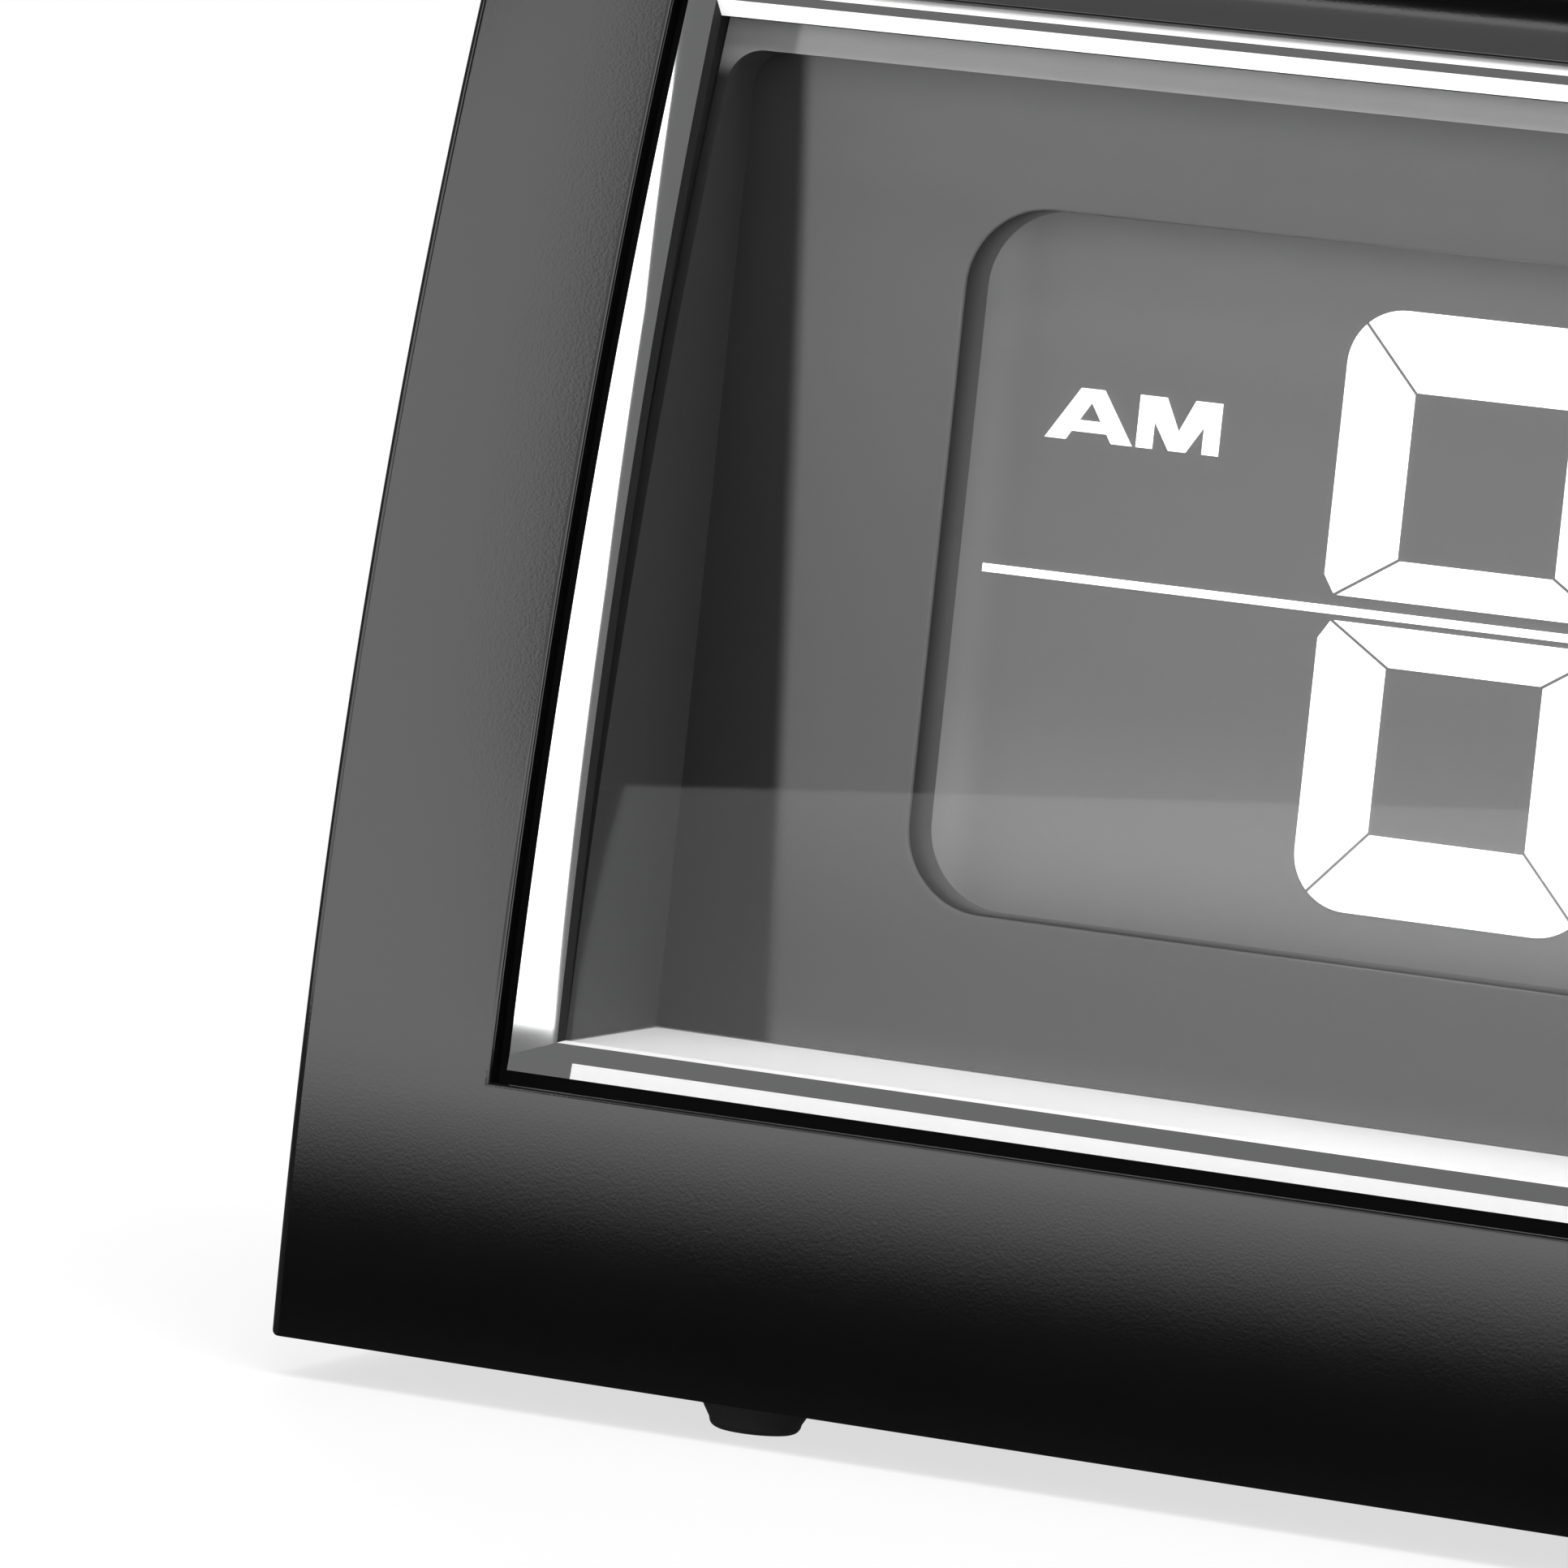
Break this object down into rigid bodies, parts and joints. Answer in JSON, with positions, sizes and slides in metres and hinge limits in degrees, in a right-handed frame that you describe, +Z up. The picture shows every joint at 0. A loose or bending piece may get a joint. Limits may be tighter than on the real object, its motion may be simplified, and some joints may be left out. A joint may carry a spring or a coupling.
{
  "type": "bedside clock",
  "caption": "Wide bedside clock with a front that leans back, a bright window bezel, a deep-set digital display, a snooze bar on top and keys, battery bay and power inlet behind.",
  "frame": {"origin": "middle of the clock's outline on the plane its feet stand on", "axes": "+X to the viewer's right along the width, +Y from the front to the back, +Z up"},
  "size_m": [0.166, 0.066, 0.0996],
  "materials": {
    "case_black": "satin-gloss moulded shell",
    "key_black": "fine matt moulding",
    "bright_chrome": "bright plated",
    "clear_lens": "clear polished sheet",
    "mask_dark": "matt dark mask",
    "lcd_glass": "display glass",
    "guide_clear": "clear light guide",
    "reflector_white": "white",
    "led_pale": "pale resin",
    "board_green": "solder mask",
    "rubber_black": "soft rubber",
    "component_black": "moulded component",
    "bracket_grey": "plain moulding",
    "screw_steel": "zinc plated",
    "spring_steel": "nickel plated",
    "cell_jacket": "plain jacket over a metal can",
    "lead_red": "wire insulation",
    "lead_black": "wire insulation",
    "ribbon_grey": "flat ribbon insulation"
  },
  "bodies": {
    "case": {"front_case": "case_black", "rear_cover": "case_black", "chrome_bezel": "bright_chrome", "display_lens": "clear_lens", "mask_tray": "mask_dark", "lcd_front_glass": "lcd_glass", "lcd_rear_glass": "lcd_glass", "light_guide": "guide_clear", "reflector_sheet": "reflector_white", "lcd_holder": "reflector_white", "backlight_led_bars": "led_pale", "main_board": "board_green", "key_board": "board_green", "rubber_feet": "rubber_black", "lcd_contact_strip": "rubber_black", "clock_chip": "component_black", "snooze_switch": "component_black", "key_switches": "component_black", "alarm_slide_switch": "component_black", "power_inlet": "component_black", "buzzer": "component_black", "capacitors": "component_black", "ribbon_sockets": "component_black", "snooze_bracket": "bracket_grey", "main_board_screws": "screw_steel", "snooze_bracket_screws": "screw_steel", "rear_cover_screws": "screw_steel", "key_board_screws": "screw_steel", "snooze_springs": "spring_steel", "battery_contact_plates": "spring_steel", "battery_contact_springs": "spring_steel", "quartz_crystal": "spring_steel", "power_inlet_pin": "spring_steel", "battery_cells": "cell_jacket", "battery_lead_red": "lead_red", "battery_lead_black": "lead_black", "buzzer_leads": "lead_black", "ribbon_cable": "ribbon_grey"},
    "snooze": {"snooze_bar": "key_black"},
    "time_key": {"time_key": "key_black"},
    "alarm_key": {"alarm_key": "key_black"},
    "hour_key": {"hour_key": "key_black"},
    "minute_key": {"minute_key": "key_black"},
    "alarm_slider": {"alarm_slider": "key_black"},
    "battery_door": {"battery_door": "case_black"}
  },
  "joints": [
    {"name": "snooze_press", "type": "slide", "parent": "case", "child": "snooze", "axis": [0, 0, -1], "range_m": [0, 0.0014], "stiffness_N_per_m": 1200, "springref_m": -0.0006, "deforming": ["snooze_springs"]},
    {"name": "time_key_press", "type": "slide", "parent": "case", "child": "time_key", "axis": [0, -1, 0], "range_m": [0, 0.0008], "stiffness_N_per_m": 1000, "springref_m": -0.0004},
    {"name": "alarm_key_press", "type": "slide", "parent": "case", "child": "alarm_key", "axis": [0, -1, 0], "range_m": [0, 0.0008], "stiffness_N_per_m": 1000, "springref_m": -0.0004},
    {"name": "hour_key_press", "type": "slide", "parent": "case", "child": "hour_key", "axis": [0, -1, 0], "range_m": [0, 0.0008], "stiffness_N_per_m": 1000, "springref_m": -0.0004},
    {"name": "minute_key_press", "type": "slide", "parent": "case", "child": "minute_key", "axis": [0, -1, 0], "range_m": [0, 0.0008], "stiffness_N_per_m": 1000, "springref_m": -0.0004},
    {"name": "alarm_slide", "type": "slide", "parent": "case", "child": "alarm_slider", "axis": [1, 0, 0], "range_m": [0, 0.004]},
    {"name": "battery_door_hinge", "type": "hinge", "parent": "case", "child": "battery_door", "pos_m": [-0.03796, 0.0317, 0.0353], "axis": [-1, 0, 0], "range_deg": [0, 92]}
  ]
}
